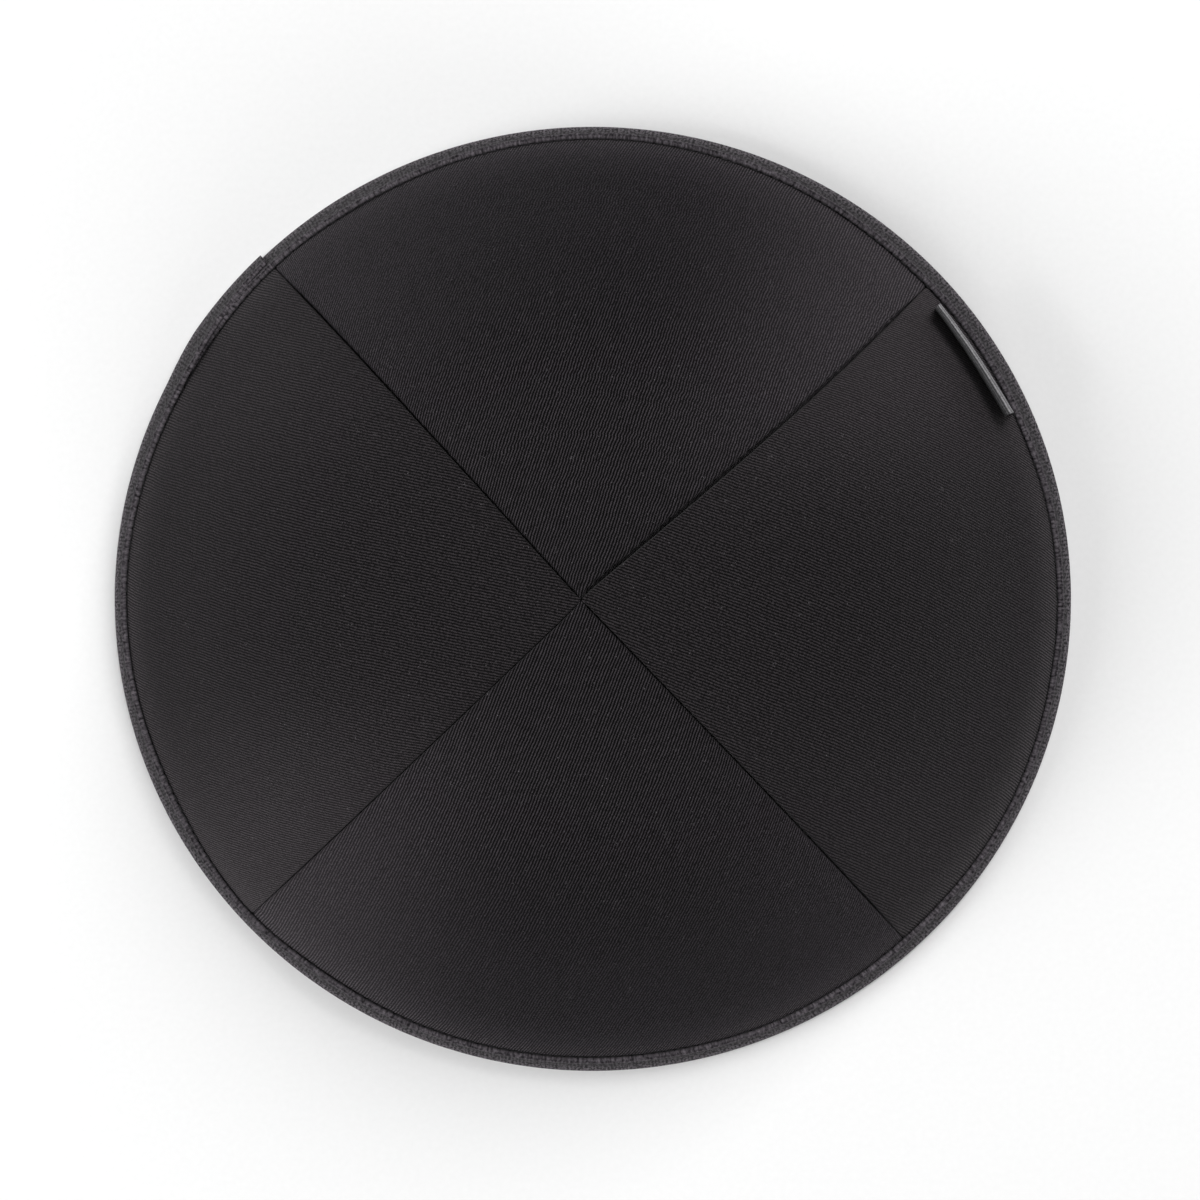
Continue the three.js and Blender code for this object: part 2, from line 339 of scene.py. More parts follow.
# %% Lay the panels on the crown
def panel_rule(start, end, wales, edges, from_bolt):
    """The rule that lays one panel between its two seams."""

    def rule(x, y, side):
        column = round(x * PANEL_COLUMNS)
        length = PANEL_TIP + (MERIDIAN - PANEL_TIP) * y
        radius, height, slope = crown_line(length)
        first, last = seam_azimuth(start, radius), seam_azimuth(end, radius)
        last += 360 if last < first else 0
        width = radius * math.radians(last - first)
        shapes = [edge_shape(sizes, radius, length) for sizes in edges]
        cloth_width = width
        for roll, slot, small in shapes:
            cloth_width += roll * (math.pi / 2 - 1) + SEAM_WALL * small - slot - HALF_SEAM * small
        from_start = column < PANEL_COLUMNS / 2
        near_shape, far_shape = shapes if from_start else shapes[::-1]
        runs = edge_runs(near_shape[0], near_shape[2], radius)
        far_runs = edge_runs(far_shape[0], far_shape[2], radius)
        place_in_runs = column if from_start else PANEL_COLUMNS - column
        if place_in_runs < EDGE_COLUMNS:
            run = runs[place_in_runs]
        else:
            share = (place_in_runs - EDGE_COLUMNS + 1) / MIDDLE_COLUMNS
            run = runs[-1] + (cloth_width - runs[-1] - far_runs[-1]) * share
        distance, depth = turned_cloth(run, near_shape, side)
        along = distance if from_start else width - distance
        across = along / width
        near, seam = (along, start) if across < 0.5 else (width - along, end)
        inside = 1 - before_edge(SWELL_FADES, length)
        lift = (cloth_lift(across, near, length) + pucker(seam, near, length)) * inside
        lift += RIM_LIFT * before_edge(LIFT_GROWS, length)
        lay_place = Vector((radius / UNEVEN_LAY_LENGTH, math.radians(first) + across * 2, 0.5))
        lift += UNEVEN_LAY * noise.noise(lay_place) * inside
        lift -= depth
        azimuth = first + math.degrees(along / radius)
        position = place(
            azimuth, radius + lift * math.sin(slope), height + lift * math.cos(slope)
        )
        arc = run - cloth_width / 2 if from_start else cloth_width / 2 - run
        spread = arc / length
        u, v = -length * math.sin(spread), length * math.cos(spread)
        lean = math.radians(wales)
        across_bolt = from_bolt + u * math.cos(lean) + v * math.sin(lean)
        return position, (across_bolt, v * math.cos(lean) - u * math.sin(lean))

    return rule


panels = {}
panel_flats = {}
for name, (start, end, wales) in PANELS.items():
    rule = panel_rule(start, end, wales, PANEL_EDGES[name], BOLT_STEP * len(panels))
    bm = lay(flat_slab(PANEL_COLUMNS, PANEL_ROWS), rule)
    panel_flats[name] = flat_area(bm)
    panels[name] = finished(bm, f"cloth_{name}")
    print(f"  {panel_flats[name] * 1e4:.0f} square centimetres of cloth")

# %% [markdown]
# ## The tape over the rim
# A long tape covers the raw edges of the panels. It is folded round them, with its own edges
# turned in, so each edge is a soft ridge. The tape goes right round and its end laps over its
# start, which makes a step in the outline. A curve with a bevel could follow the rim, but it
# couldn't change its section on the way, so the tape is one long slab too, laid with a
# section that changes: its width, its ridge, and the two layers where it laps.

# %% Sizes of the tape
TAPE_THICKNESS = 0.8
INNER_FACE = 3.8
INNER_REACH = 5.2
TAPE_WIDTHS = {
    0: 3.15,
    12: 3.3,
    21: 4.0,
    35: 3.95,
    50: 4.3,
    62: 3.75,
    87: 2.9,
    105: 3.6,
    120: 4.5,
    133: 3.95,
    142: 4.4,
    151: 4.5,
    162: 3.9,
    177: 3.1,
    192: 3.35,
    206: 4.15,
    223: 2.75,
    234: 3.9,
    252: 3.35,
    280: 3.5,
    292: 3.1,
    300: 3.4,
    316: 3.5,
    330: 2.8,
    350: 3.05,
    354.6: 3.35,
    355.3: 2.95,
    360: 3.15,
}
WIDTH_SOFTENING = (-4, -2, 0, 2, 4)
WIDTH_WAVES = ((0.07, 3.2, 1), (0.09, 11, 2))
RIDGE_WAVES = ((0.5, 2.8, 3), (0.4, 6, 4))
INNER_WAVES = ((0.12, 6, 5),)
LAP_START = 133.5
LAP_FLAT_END = 145
LAP_FADE_END = 154
TAPE_START = 150
UNDER_START = LAP_START - 1.5
UNDER_SETTLED = LAP_START - 0.2
LEDGE_END = TAPE_START - 0.5
LAP_THICKNESS = 0.6
LAP_LEDGE = 1.7
LAYER_GAP = 0.03
EDGE_ROUNDING = 0.62
EDGE_MEETING = 0.2
RIDGE_HEIGHT = 0.24
RIDGE_PLACE = 0.6
RIDGE_WIDTH = 0.4
DRAWN_IN = 0.03
DRAWN_IN_WIDTH = 0.5
FOLD_TURN = 0.44
FOOT_LENGTH = 4
STITCH_PITCH = 2.15
STITCHES = round(2 * math.pi * RIM_RADIUS / STITCH_PITCH)
TAPE_COLUMNS = 900


@lru_cache
def tape_width(azimuth):
    """The width of the tape's outer face as seen from above, which the sewing left uneven."""
    nearby = [(azimuth + shift) % 360 for shift in WIDTH_SOFTENING]
    return float(np.mean(np.interp(nearby, list(TAPE_WIDTHS), list(TAPE_WIDTHS.values()))))


def fold_points():
    """The middles of the two folds at the tape's foot, as radii."""
    corner, _ = wall_point(INNER_FACE, INNER_FACE / math.tan(RIM_SLOPE))
    return RIM_RADIUS - FOOT_ROUNDING, corner + FOOT_ROUNDING * math.tan(RIM_SLOPE / 2)


OUTER_FOLD, INNER_FOLD = fold_points()
OUTER_LOWEST = FOOT_ROUNDING * (1 + math.cos(RIM_SLOPE)) / math.sin(RIM_SLOPE)
INNER_LOWEST = (
    FOOT_ROUNDING * (1 - math.cos(RIM_SLOPE)) + INNER_FACE * math.cos(RIM_SLOPE)
) / math.sin(RIM_SLOPE)
EDGE_STEPS = (0, 0.02, 0.07, 0.14, 0.24, 0.36, 0.5, 0.7, 0.95, 1.3)
TAPE_SECTION = (
    [("outer edge", step) for step in EDGE_STEPS]
    + [("outer leg", share) for share in (0.25, 0.5, 0.75)]
    + [("outer fold", angle) for angle in (25, 5, -15, -35, -55, -75, -90)]
    + [("inner fold", angle) for angle in (-90, -112, -134, -155)]
    + [("inner leg", share) for share in (0.66, 0.33)]
    + [("inner edge", step) for step in reversed(EDGE_STEPS)]
)


# %% The two layers of the lap
def tape_layers(turned):
    """How deep the tape's face and back lie at an azimuth that counts on past a full turn.

    The first pair is for the outer leg, the second for the foot and the inner leg."""
    under = turned - 360
    if turned < LAP_FADE_END:
        cover = 1 - smoothstep(LAP_FLAT_END, LAP_FADE_END, turned)
        split = TAPE_THICKNESS * (1 - cover)
        return (-LAP_THICKNESS * cover, split), (0, TAPE_THICKNESS * (1 - cover / 2)), cover
    if under > UNDER_START:
        cover = 1 - smoothstep(LAP_FLAT_END, LAP_FADE_END, under)
        entry = smoothstep(UNDER_START, UNDER_SETTLED, under)
        split = TAPE_THICKNESS * (1 - cover) + LAYER_GAP
        inner = entry * (TAPE_THICKNESS * (1 - cover / 2) + LAYER_GAP)
        back = TAPE_THICKNESS + LAYER_GAP
        return (entry * split, back), (inner, back), 0
    return (0, TAPE_THICKNESS), (0, TAPE_THICKNESS), 0


def edge_ridge(from_edge, along):
    """The soft ridge over the tape's turned edge, a little lumpy, and drawn in at each stitch."""
    lumps = 1 + uneven(along, RIDGE_WAVES)
    drawn_in = DRAWN_IN * (1 - math.cos(2 * math.pi * along / STITCH_PITCH))
    ridge = RIDGE_HEIGHT * lumps * math.exp(-(((from_edge - RIDGE_PLACE) / RIDGE_WIDTH) ** 2))
    return ridge - drawn_in * math.exp(-((from_edge / DRAWN_IN_WIDTH) ** 2))


# %% Lay the tape round the rim
def leg_place(part, amount, reach, lowest):
    """How far up its leg a station of the section is, and how far from the tape's edge."""
    if part.endswith("edge"):
        return reach - amount, amount
    from_edge = EDGE_STEPS[-1] + (reach - lowest - EDGE_STEPS[-1]) * amount
    return reach - from_edge, from_edge


def rounded_depth(face, back, side, from_edge):
    """The depth of the tape's face or back: the face rolls down to the back at its turned edge."""
    meeting = back + (face - back) * EDGE_MEETING
    left = max(EDGE_ROUNDING - from_edge, 0) / EDGE_ROUNDING
    fullness = math.sqrt(1 - left * left)
    end = face if side > 0.5 else back
    return meeting + (end - meeting) * fullness, fullness


def tape_rule(x, y, side):
    """Lays a point of the tape: x runs along it, and y from its outer edge to its inner one."""
    part, amount = TAPE_SECTION[round(y * (len(TAPE_SECTION) - 1))]
    turned = LAP_START + (360 + TAPE_START - LAP_START) * x
    along = math.radians(turned) * RIM_RADIUS
    outer, inner, cover = tape_layers(turned)
    width = tape_width(turned) + uneven(along, WIDTH_WAVES)
    if cover:
        width -= float(np.interp(turned, (LAP_START, LEDGE_END), (LAP_LEDGE, 0)))
    leg_foot = FOOT_RADIUS - outer[1] * math.sin(RIM_SLOPE) - RIM_RADIUS
    reach = (leg_foot + width) / math.cos(RIM_SLOPE)
    face, back = outer if part.startswith("outer") else inner
    if "fold" in part:
        depth = back + (face - back) * side
        angle = math.radians(amount)
        middle = OUTER_FOLD if part == "outer fold" else INNER_FOLD
        turn = FOOT_ROUNDING - depth
        radius = middle + turn * math.cos(angle)
        height = max(FOOT_ROUNDING + turn * math.sin(angle), 0)
        across = reach + FOOT_ROUNDING * (FOLD_TURN - angle) + (OUTER_FOLD - middle)
    elif part.startswith("outer"):
        up, from_edge = leg_place(part, amount, reach, OUTER_LOWEST)
        depth, fullness = rounded_depth(face, back, side, from_edge)
        rise = edge_ridge(from_edge, along) * fullness * side
        radius, height = wall_point(depth - rise, up)
        across = from_edge
    else:
        inner_reach = INNER_REACH + uneven(along, INNER_WAVES)
        up, from_edge = leg_place(part, amount, inner_reach, INNER_LOWEST)
        depth, fullness = rounded_depth(face, back, side, from_edge)
        rise = edge_ridge(from_edge, along) * fullness * side
        radius, height = wall_point(INNER_FACE - depth + rise, up)
        across = reach + FOOT_LENGTH + up
    return place(turned, radius, height), (along, across)


bm = lay(flat_slab(TAPE_COLUMNS, len(TAPE_SECTION) - 1), tape_rule)
tape_area = flat_area(bm)
tape = finished(bm, "rim_tape")
print(f"  {tape_area * 1e4:.0f} square centimetres of tape")

# %% [markdown]
# ## The folded tab
# A short piece of satin ribbon is folded in two and caught under the tape. It stands on the
# slope of the crown with its fold up, so from above it is a narrow strip with square ends.
# The fold is half of a round tube and the legs are straight, and real ribbon is never quite
# flat, so its rule bows it slightly.

# %% Lay the tab over its fold
TAB_FROM = 24.0
TAB_TO = 40.4
TAB_RADIUS = 84.75
TAB_HALVES = (0.88, 0.66)
RIBBON_THICKNESS = 0.36
TAB_TOP = 16.4
TAB_FOOT_LIFT = 0.2
TAB_LEAN = math.radians(6)
LEAN_HEIGHT = TAB_TOP / 2
TAB_SWING = 0.3
TAB_BOW = 0.45
BOW_WAVES = ((0.1, 7, 21), (0.04, 2.4, 22))
TOP_WAVES = ((0.08, 5, 23),)
TAB_LEG = 8.2
TAB_FOLD = 0.8
FOLD_SQUARENESS = 0.45
TAB_COLUMNS = 64
TAB_SECTION = (
    [("inner leg", share) for share in (0, 0.12, 0.25, 0.4, 0.55, 0.7, 0.85)]
    + [("fold", 180 - 18 * step) for step in range(11)]
    + [("outer leg", share) for share in (0.85, 0.7, 0.55, 0.4, 0.27, 0.15, 0.07, 0)]
)


def tab_rule(x, y, side):
    """Lays a point of the ribbon: x runs along the rim, and y from the inner foot to the outer."""
    part, amount = TAB_SECTION[round(y * (len(TAB_SECTION) - 1))]
    azimuth = TAB_FROM + (TAB_TO - TAB_FROM) * x
    along = math.radians(azimuth - TAB_FROM) * TAB_RADIUS
    bow = uneven(along, BOW_WAVES) + TAB_BOW * math.sin(math.pi * x)
    half_angle = math.radians(TAB_TO - TAB_FROM) / 2
    straighten = math.cos(half_angle) / math.cos(half_angle * (2 * x - 1))
    base = (TAB_RADIUS + TAB_SWING * (1 - x)) * straighten + bow
    half = TAB_HALVES[0] + (TAB_HALVES[1] - TAB_HALVES[0]) * x
    thick = half - (1 - side) * RIBBON_THICKNESS
    fold_height = TAB_TOP - half + uneven(along, TOP_WAVES)
    foot_radius = base + (thick if part == "outer leg" else -thick)
    foot_height = crown_height(foot_radius) + TAB_FOOT_LIFT
    rise = fold_height - foot_height
    fold_radius = base - (fold_height - LEAN_HEIGHT) * math.tan(TAB_LEAN)
    if part == "fold":
        angle = math.radians(amount)
        squared = math.copysign(abs(math.cos(angle)) ** FOLD_SQUARENESS, math.cos(angle))
        radius = fold_radius + thick * squared
        height = fold_height + thick * abs(math.sin(angle)) ** FOLD_SQUARENESS
        across = TAB_LEG + TAB_FOLD * (math.pi - angle)
    else:
        outward = 1 if part == "outer leg" else -1
        height = foot_height + rise * amount
        radius = base + outward * thick - (height - LEAN_HEIGHT) * math.tan(TAB_LEAN)
        from_end = TAB_LEG * amount
        across = from_end if outward < 0 else 2 * TAB_LEG + TAB_FOLD * math.pi - from_end
    return place(azimuth, radius, height), (along, across)


bm = lay(flat_slab(TAB_COLUMNS, len(TAB_SECTION) - 1), tab_rule)
tab_area = flat_area(bm)
tab = finished(bm, "ribbon_tab")
soften = tab.modifiers.new("soft edges", "BEVEL")
soften.width = 0.1 * MM
soften.segments = 2
soften.limit_method = "ANGLE"
soften.angle_limit = math.radians(60)
print(f"  {tab_area * 1e4:.1f} square centimetres of ribbon")

# %% [markdown]
# ## The stitches of the tape
# One row of machine stitches holds both legs of the tape. On the outside it runs in the ditch
# beside the tape's edge, so only dark beads of thread show. Inside the cap the same row shows
# on the tape. Each stitch is a stretched ball, which has few faces, and which sinks into the
# cloth at both ends as a pulled stitch does.

# %% Two rows of stitches
THREAD = 0.15
STITCH_HALF = 0.92
UNEVEN_STITCH = 0.05
DITCH_INWARD = 0.86
DITCH_BELOW_EDGE = 0.1
INSIDE_TURN = 0.6
INSIDE_SINK = 0.02
INSIDE_FROM_EDGE = 1.05


def stitch_frame(azimuth, inward, up):
    """Where a stitch lies, and its directions: along the rim, out of the cloth, and across."""
    radius, height = wall_point(inward, up)
    centre = place(azimuth, radius, height)
    ahead = (place(azimuth + 0.05, radius, height) - centre).normalized()
    level = ahead.cross(Vector((0, 0, 1)))
    outward = (level * math.sin(RIM_SLOPE) + Vector((0, 0, math.cos(RIM_SLOPE)))).normalized()
    across = ahead.cross(outward)
    axes = Matrix((across * THREAD, outward * THREAD, ahead * STITCH_HALF)).transposed()
    return Matrix.Translation(centre) @ axes.to_4x4()


def one_stitch():
    """A ball with a radius of one millimetre, to be stretched into each stitch."""
    bm = bmesh.new()
    bmesh.ops.create_uvsphere(bm, u_segments=8, v_segments=6, radius=MM)
    mesh = bpy.data.meshes.new("stitch")
    bm.to_mesh(mesh)
    bm.free()
    return mesh


def stitch_rows():
    """The row in the ditch outside and the row on the tape inside."""
    bm = bmesh.new()
    ball = one_stitch()
    leg_foot = FOOT_RADIUS - TAPE_THICKNESS * math.sin(RIM_SLOPE) - RIM_RADIUS
    inside_up = INNER_REACH - INSIDE_FROM_EDGE
    for number in range(STITCHES):
        azimuth = 360 * (number + 0.5) / STITCHES
        jitter = UNEVEN_STITCH * wave(number * 1.7, 31)
        reach = (leg_foot + tape_width(azimuth)) / math.cos(RIM_SLOPE)
        ditch = stitch_frame(azimuth, DITCH_INWARD + jitter, reach - DITCH_BELOW_EDGE)
        turned = azimuth + INSIDE_TURN
        inside = stitch_frame(turned, INNER_FACE + INSIDE_SINK, inside_up + jitter)
        for frame_of_stitch in (ditch, inside):
            stitch = ball.copy()
            stitch.transform(frame_of_stitch)
            bm.from_mesh(stitch)
            bpy.data.meshes.remove(stitch)
    bpy.data.meshes.remove(ball)
    bmesh.ops.recalc_face_normals(bm, faces=bm.faces)
    for face in bm.faces:
        face.smooth = True
    return bm


stitches = finished(stitch_rows(), "rim_stitches")
print(f"  {STITCHES} stitches in each row")

# %% [markdown]
# ## Writing materials as sums
# A cloth finish is mostly sums on a position: which yarn a point is on, and how high it is
# there. Written as a node graph that is dozens of boxes, so one small class wraps a socket
# and lets Python's own signs add the Math nodes. Colours never go through them, because a
# Math node makes a colour grey: they go through Mix.

# %% A socket that can be reckoned with
class Wire:
    """A socket of a material's node tree."""

    def __init__(self, tree, socket=None):
        self.tree = tree
        self.socket = socket

    def node(self, kind, settings=None, inputs=None, output=0):
        """Any node: its settings are set first, then the values or links of its sockets."""
        made = self.tree.nodes.new("ShaderNode" + kind)
        for name, value in (settings or {}).items():
            setattr(made, name, value)
        for name, value in (inputs or {}).items():
            if isinstance(value, Wire):
                self.tree.links.new(value.socket, made.inputs[name])
            else:
                made.inputs[name].default_value = value
        return Wire(self.tree, made.outputs[output] if made.outputs else None)

    def maths(self, operation, *values):
        """A Math node, for what has no sign in Python."""
        return self.node("Math", {"operation": operation}, dict(enumerate(values)))

    def __add__(self, other):
        return self.maths("ADD", self, other)

    def __sub__(self, other):
        return self.maths("SUBTRACT", self, other)

    def __rsub__(self, other):
        return self.maths("SUBTRACT", other, self)

    def __mul__(self, other):
        return self.maths("MULTIPLY", self, other)

    def __truediv__(self, other):
        return self.maths("DIVIDE", self, other)

    def __pow__(self, other):
        return self.maths("POWER", self, other)

    __radd__ = __add__
    __rmul__ = __mul__

    def between(self, low, high):
        """From 0 to 1 as this goes from low to high, with soft ends."""
        settings = {"interpolation_type": "SMOOTHSTEP"}
        return self.node("MapRange", settings, {0: self, 1: low, 2: high})

    def blend(self, first, second):
        """The first colour where this is 0, and the second where it is 1."""
        settings = {"data_type": "RGBA"}
        return self.node("Mix", settings, {0: self, 6: first, 7: second}, output=2)


def shade(red, green, blue):
    """A colour as a screen shows it, from 0 to 255, made linear for a shader."""
    shares = [part / 255 for part in (red, green, blue)]
    linear = [p / 12.92 if p <= 0.04045 else ((p + 0.055) / 1.055) ** 2.4 for p in shares]
    return (*linear, 1)


def new_finish(name):
    """An empty material, and a wire to start its sums from."""
    material = bpy.data.materials.new(name)
    material.use_nodes = True
    material.node_tree.nodes.clear()
    return material, Wire(material.node_tree)


def bumps(start, height, depth):
    """A normal that follows a height, where a height of 1 is a depth in millimetres."""
    inputs = {"Strength": 1.0, "Distance": depth * MM, "Height": height}
    return start.node("Bump", None, inputs)


def finish_with(start, colour, roughness, normal, constants):
    """The closing shader: what varies is linked, and what doesn't is set on its sockets."""
    inputs = {"Base Color": colour, "Roughness": roughness, "Normal": normal, **constants}
    surface = start.node("BsdfPrincipled", None, inputs)
    start.node("OutputMaterial", None, {"Surface": surface})


# %% [markdown]
# ## Twill
# In this twill each warp yarn floats over two weft yarns and dives under the third, and each
# yarn does so one step later than its neighbour. The floats line up in slanting ribs, the
# wales, about half a millimetre apart. The sum below numbers the yarns, asks how far along
# its float a point is, and gives a height. Bump shows it, because a real yarn is 0.2 mm wide
# and would take millions of faces. Slow chance bends the ribs, and streaks follow the yarns.

# %% Where a point lies on its cloth
BOLT_PLACE = 2
CAP_PLACE = 3


def numbers(start, output):
    """The three numbers of an output of the Texture Coordinate node."""
    position = start.node("TexCoord", output=output)
    parts = start.node("SeparateXYZ", None, {0: position})
    return [Wire(start.tree, socket) for socket in parts.socket.node.outputs]


def cloth_place(start):
    """Where a point was on the bolt of cloth, in millimetres: across and along."""
    return numbers(start, BOLT_PLACE)[:2]


def speckle(start, across, along, scale, detail=2.0, rough=0.5):
    """Chance on the cloth's own places, at a number of spots for each millimetre."""
    vector = start.node("CombineXYZ", None, {0: across, 1: along})
    inputs = {"Vector": vector, "Scale": scale, "Detail": detail, "Roughness": rough}
    return start.node("TexNoise", {"noise_dimensions": "2D"}, inputs)


# %% The height of the twill's yarns
WARP_ACROSS, WARP_ALONG = 4.24, -2.65
WEFT_ACROSS, WEFT_ALONG = 1.656, 2.65
FLOAT = 3
ROUGHER = (0.02, 0.075)


def twill_height(start, across, along, from_middle, fuzziness):
    """How high the cloth stands at a point, and how thick its yarn is there."""
    drift = speckle(start, across, along, 0.12)
    wobble = speckle(start, across, along, 0.9, 1.0)
    bent = across + (drift - 0.5) * 0.45 + (wobble - 0.5) * 0.04
    warp = bent * WARP_ACROSS + along * WARP_ALONG
    weft = bent * WEFT_ACROSS + along * WEFT_ALONG
    yarn = start.maths("FLOOR", warp)
    step = start.maths("FRACT", (yarn + weft) / FLOAT)
    wale = start.maths("FRACT", (warp + weft) / FLOAT)
    rib = start.maths("SINE", wale * math.pi)
    hump = start.maths("SINE", step * math.pi)
    roundness = start.maths("SINE", start.maths("FRACT", warp) * math.pi) ** 0.6
    slub = speckle(start, warp * 0.9, weft * 0.12, 1.0, 3.0, 0.6)
    fuzz = speckle(start, across, along, 2.6, 3.0, 0.7)
    mid_fuzz, rim_fuzz = fuzziness
    fuzz_share = from_middle.between(*ROUGHER) * (rim_fuzz - mid_fuzz) + mid_fuzz
    woven = rib * 0.65 + hump * roundness * 0.35
    return woven * (0.7 + slub * 0.6) + (fuzz - 0.5) * fuzz_share, slub


# %% [markdown]
# ## Painted light and shade, and lint
# Black cloth is never one black. Painted sheen makes this one lighter towards the back right and
# the front left, where its raised yarns catch the light, and painted light makes it lighter in the
# ditch beside the tape. Painted shade makes it darker halfway down the back and front panels.
# Painting that would take an image, so these are sums on the point's place on the cap, which
# Blender gives in metres. Hairs and dust come from chance: a hair is where a slow pattern passes
# its middle value, which makes a thin bent line.

# %% The colours of the raised yarns, with painted sheen, light and shade
OUTER_CLOTH = (0.03, 0.09)
PAINTED_SHEEN_REACH = (0.015, 0.089)
SHADE_HALFWAY_STARTS = (0.03, 0.068)
SHADE_HALFWAY_ENDS = (0.074, 0.087)
LIT_DITCH_STARTS = (0.0815, 0.087)
LIT_DITCH_ENDS = (0.0868, 0.0882)
PAINTED_SHEEN_TIMES = 2.15
LIT_DITCH_TIMES = 2.6
LINT_COLOUR = (0.2, 0.19, 0.2, 1)


def lighter(colour, times):
    """A colour made so many times as light."""
    return (colour[0] * times, colour[1] * times, colour[2] * times, 1)


def sheen_corner_shares(start, right, back, from_middle):
    """From 0 to 1 towards the back right and front left, and towards the other two corners, where
    sheen is painted.
    """
    corner_lean = right * back * 2 / (from_middle * from_middle + 1e-6)
    return start.maths("MAXIMUM", corner_lean, 0) ** 3.0, start.maths("MAXIMUM", corner_lean * -1, 0) ** 3.0


def lint_and_dust(start, across, along):
    """From 0 to 1 where a hair or a speck of dust lies on the cloth."""
    line = start.maths("ABSOLUTE", speckle(start, across, along, 0.7, 3.0, 0.6) - 0.5)
    places = speckle(start, across + 40, along, 0.5).between(0.72, 0.74)
    hairs = (1 - line.between(0.002, 0.006)) * places
    dust = speckle(start, across + 11, along, 2.0, 1.0).between(0.81, 0.86) * 0.5
    return start.maths("MAXIMUM", hairs * 0.6, dust)


# %% The twill finish
def twill(name, shaded_hollow, raised, at_rim, slubbed, crispness, fuzziness, sheen):
    """Black twill, from the colour of its hollows, which is painted shade, to the colours of its
    raised yarns.

    The fuzziness is two shares: the first for mid crown, and the second for the rim."""
    material, start = new_finish(name)
    across, along = cloth_place(start)
    right, back, _ = numbers(start, CAP_PLACE)
    from_middle = start.maths("SQRT", right * right + back * back)
    height, slub = twill_height(start, across, along, from_middle, fuzziness)
    patch = speckle(start, across, along, 0.05)
    outer_cloth = from_middle.between(*OUTER_CLOTH) * (0.35 + patch)
    body = outer_cloth.blend(raised, at_rim)
    body = (slub * 0.6).blend(body, slubbed)
    # Painted sheen: the raised yarns, and a little of the hollows, are painted lighter towards the
    # back right and the front left, and less towards the other two corners.
    strong_sheen_share, weak_sheen_share = sheen_corner_shares(start, right, back, from_middle)
    painted_sheen = (strong_sheen_share + weak_sheen_share * 0.25) * from_middle.between(*PAINTED_SHEEN_REACH)
    body = painted_sheen.blend(body, lighter(raised, PAINTED_SHEEN_TIMES))
    # Painted shade: the back and front panels are painted darker halfway down, towards the colour
    # of the hollows.
    middles = (start.maths("ABSOLUTE", back) / (from_middle + 1e-6)).between(0.5, 1.0)
    halfway = from_middle.between(*SHADE_HALFWAY_STARTS) * (1 - from_middle.between(*SHADE_HALFWAY_ENDS))
    body = (middles * halfway * 0.38).blend(body, shaded_hollow)
    # Painted light: the cloth in the ditch beside the tape is painted lighter, lifting the shade
    # that falls there.
    painted_light_share = from_middle.between(*LIT_DITCH_STARTS) * (1 - from_middle.between(*LIT_DITCH_ENDS))
    body = (painted_light_share * 0.84).blend(body, lighter(raised, LIT_DITCH_TIMES))
    # The colour of the hollows between the wales is painted shade: the shade that falls between
    # raised yarns.
    ground = (painted_sheen * 0.35).blend(shaded_hollow, raised)
    ridge = height.between(0.24, 1.02) ** crispness
    colour = lint_and_dust(start, across, along).blend(ridge.blend(ground, body), LINT_COLOUR)
    constants = {"Specular IOR Level": 0.06, "Sheen Weight": sheen, "Sheen Roughness": 0.4}
    finish_with(start, colour, 0.78 - height * 0.1, bumps(start, height, 0.12), constants)
    return material


# Each twill's colour of hollows is painted shade between its wales.
crisp_twill = twill(
    "black_twill",
    shaded_hollow=(0.0003, 0.00025, 0.0003, 1),
    raised=(0.046, 0.0402, 0.0455, 1),
    at_rim=(0.051, 0.0385, 0.0545, 1),
    slubbed=(0.064, 0.0575, 0.0635, 1),
    crispness=2.6,
    fuzziness=(0.35, 1.4),
    sheen=0.045,
)
soft_twill = twill(
    "black_twill_faint_wales",
    shaded_hollow=(0.0022, 0.0019, 0.0022, 1),
    raised=(0.034, 0.0296, 0.0324, 1),
    at_rim=(0.036, 0.0297, 0.0355, 1),
    slubbed=(0.0475, 0.0425, 0.0452, 1),
    crispness=1.7,
    fuzziness=(1.45, 1.1),
    sheen=0.065,
)
for name, panel in panels.items():
    crisp = name in ("panel_back", "panel_front")
    panel.data.materials.append(crisp_twill if crisp else soft_twill)
print("each twill has", len(crisp_twill.node_tree.nodes), "nodes")

# %% [markdown]
# ## Tape, ribbon and thread
# The tape is a ribbed weave: thick cross yarns, 0.7 mm apart, with finer yarns running over
# them along the tape. It is greyer than the crown, because its ribs catch light, and light is
# painted on its ridge and its fold, which makes them lighter. Past the ridge its fuzz is drawn
# out towards the foot. The satin ribbon has much finer ribs and a soft gloss; its leg that
# faces the middle of the crown is painted in shade, and its fold and outer leg have a painted
# highlight. The thread is twisted, so its stitches are mottled.

# %% The tape's finish
RIB_PITCH = 0.7
FINE_YARN_PITCH = 0.46
RIDGE_ENDS = (0.8, 1.8)
FLAT_STARTS = (1.0, 2.6)
DRAWN_OUT_FROM = 1.2
DRAWN_OUT_SHARE = 0.45
FOLD_PAINTED_LIGHT = (0.0003, 0.005)


def ripples(position, pitch):
    """Even rounded ribs, from 0 to 1, at a pitch in millimetres."""
    return position.maths("SINE", position * (2 * math.pi / pitch)) * 0.5 + 0.5


